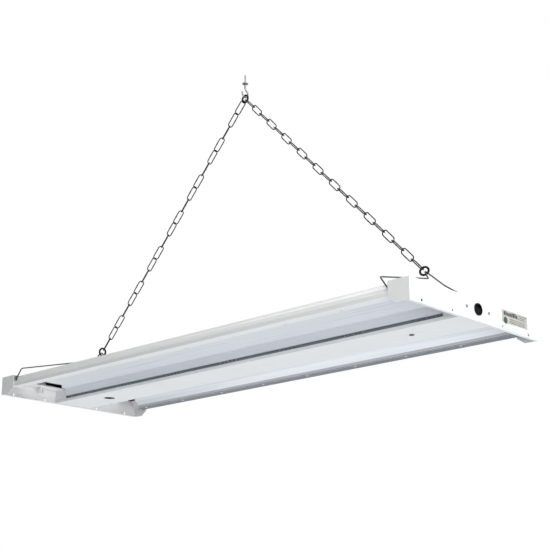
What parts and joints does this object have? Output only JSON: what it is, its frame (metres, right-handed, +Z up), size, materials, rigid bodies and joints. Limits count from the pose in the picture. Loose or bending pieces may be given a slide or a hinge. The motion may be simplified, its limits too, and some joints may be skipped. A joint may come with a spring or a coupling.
{
  "type": "hanging fluorescent grow light",
  "caption": "Long white hanging grow lamp: two reflector troughs either side of a ballast channel, wire hangers and a V of chains to a ceiling hook.",
  "frame": {"origin": "where the ceiling hook's screw enters the ceiling, above the middle of the lamp", "axes": "+X along the lamp towards the end with the switch, +Y across it towards the rear, +Z up"},
  "size_m": [1.2042, 0.406, 0.6999],
  "materials": {
    "white_steel": "satin white powder coat",
    "bracket_steel": "white powder coat",
    "reflector_white": "smooth semi-gloss white",
    "cover_white": "satin white powder coat",
    "hanger_wire": "zinc-plated wire",
    "black_ring": "gloss black",
    "chain_steel": "zinc-plated, dulled",
    "hook_steel": "zinc-plated",
    "holder_plastic": "moulded white",
    "contact_brass": "plain",
    "ballast_steel": "thin white coat",
    "board_green": "solder mask",
    "component_dark": "moulded",
    "terminal_white": "moulded",
    "screw_steel": "zinc-plated",
    "rivet_aluminium": "plain",
    "switch_black": "moulded black",
    "label_film": "printed film",
    "sticker_green": "printed film",
    "lead_white": "insulated wire",
    "lead_black": "insulated wire",
    "lead_green": "insulated wire"
  },
  "bodies": {
    "hook": {"ceiling_hook": "hook_steel"},
    "upper_ring": {"top_ring": "black_ring"},
    "chains": {"left_chain": "chain_steel", "right_chain": "chain_steel", "left_ring": "black_ring", "right_ring": "black_ring"},
    "rocker": {"switch_rocker": "switch_black"},
    "fastener": {"cover_fastener": "screw_steel"},
    "front_left_rotor_body": {"front_left_rotor": "holder_plastic"},
    "front_right_rotor_body": {"front_right_rotor": "holder_plastic"},
    "rear_left_rotor_body": {"rear_left_rotor": "holder_plastic"},
    "rear_right_rotor_body": {"rear_right_rotor": "holder_plastic"},
    "fixture": {"ballast_board": "board_green", "ballast_case": "ballast_steel", "ballast_components": "component_dark", "ballast_cover": "cover_white", "ballast_lid": "ballast_steel", "ballast_screws": "screw_steel", "ballast_terminals": "terminal_white", "cord_bushing": "switch_black", "cover_catch": "bracket_steel", "front_left_contacts": "contact_brass", "front_left_holder_bracket": "bracket_steel", "front_left_lampholder": "holder_plastic", "front_left_leads": "lead_white", "front_reflector": "reflector_white", "front_reflector_rivets": "rivet_aluminium", "front_right_contacts": "contact_brass", "front_right_holder_bracket": "bracket_steel", "front_right_lampholder": "holder_plastic", "front_right_leads": "lead_white", "ground_lead": "lead_green", "ground_screw": "screw_steel", "housing": "white_steel", "label_sticker": "sticker_green", "left_cap_screws": "screw_steel", "left_end_bracket": "bracket_steel", "left_end_cap": "white_steel", "left_hanger": "hanger_wire", "mains_leads": "lead_black", "power_switch": "switch_black", "rating_label": "label_film", "rear_left_contacts": "contact_brass", "rear_left_holder_bracket": "bracket_steel", "rear_left_lampholder": "holder_plastic", "rear_left_leads": "lead_white", "rear_reflector": "reflector_white", "rear_reflector_rivets": "rivet_aluminium", "rear_right_contacts": "contact_brass", "rear_right_holder_bracket": "bracket_steel", "rear_right_lampholder": "holder_plastic", "rear_right_leads": "lead_white", "right_cap_screws": "screw_steel", "right_end_bracket": "bracket_steel", "right_end_cap": "white_steel", "right_hanger": "hanger_wire", "switch_terminals": "contact_brass"}
  },
  "joints": [
    {"name": "lengthwise_swing", "type": "hinge", "parent": "hook", "child": "upper_ring", "pos_m": [0, 0, -0.03375], "axis": [0, 1, 0], "range_deg": [-30, 30]},
    {"name": "crosswise_swing", "type": "hinge", "parent": "upper_ring", "child": "chains", "pos_m": [0, 0, -0.04529], "axis": [1, 0, 0], "range_deg": [-25, 25]},
    {"name": "fixture_tilt", "type": "hinge", "parent": "chains", "child": "fixture", "pos_m": [0, 0, -0.56159], "axis": [1, 0, 0], "range_deg": [-15, 15]},
    {"name": "switch_throw", "type": "hinge", "parent": "fixture", "child": "rocker", "pos_m": [0.59895, 0, -0.65245], "axis": [0, 1, 0], "range_deg": [0, 20]},
    {"name": "cover_quarter_turn", "type": "hinge", "parent": "fixture", "child": "fastener", "pos_m": [0.45, 0, -0.66995], "axis": [0, 0, 1], "range_deg": [0, 90]},
    {"name": "front_left_rotor_turn", "type": "hinge", "parent": "fixture", "child": "front_left_rotor_body", "pos_m": [-0.5775, -0.105, -0.65245], "axis": [1, 0, 0], "range_deg": [0, 90]},
    {"name": "front_right_rotor_turn", "type": "hinge", "parent": "fixture", "child": "front_right_rotor_body", "pos_m": [0.5775, -0.105, -0.65245], "axis": [1, 0, 0], "range_deg": [0, 90]},
    {"name": "rear_left_rotor_turn", "type": "hinge", "parent": "fixture", "child": "rear_left_rotor_body", "pos_m": [-0.5775, 0.105, -0.65245], "axis": [1, 0, 0], "range_deg": [0, 90]},
    {"name": "rear_right_rotor_turn", "type": "hinge", "parent": "fixture", "child": "rear_right_rotor_body", "pos_m": [0.5775, 0.105, -0.65245], "axis": [1, 0, 0], "range_deg": [0, 90]}
  ]
}
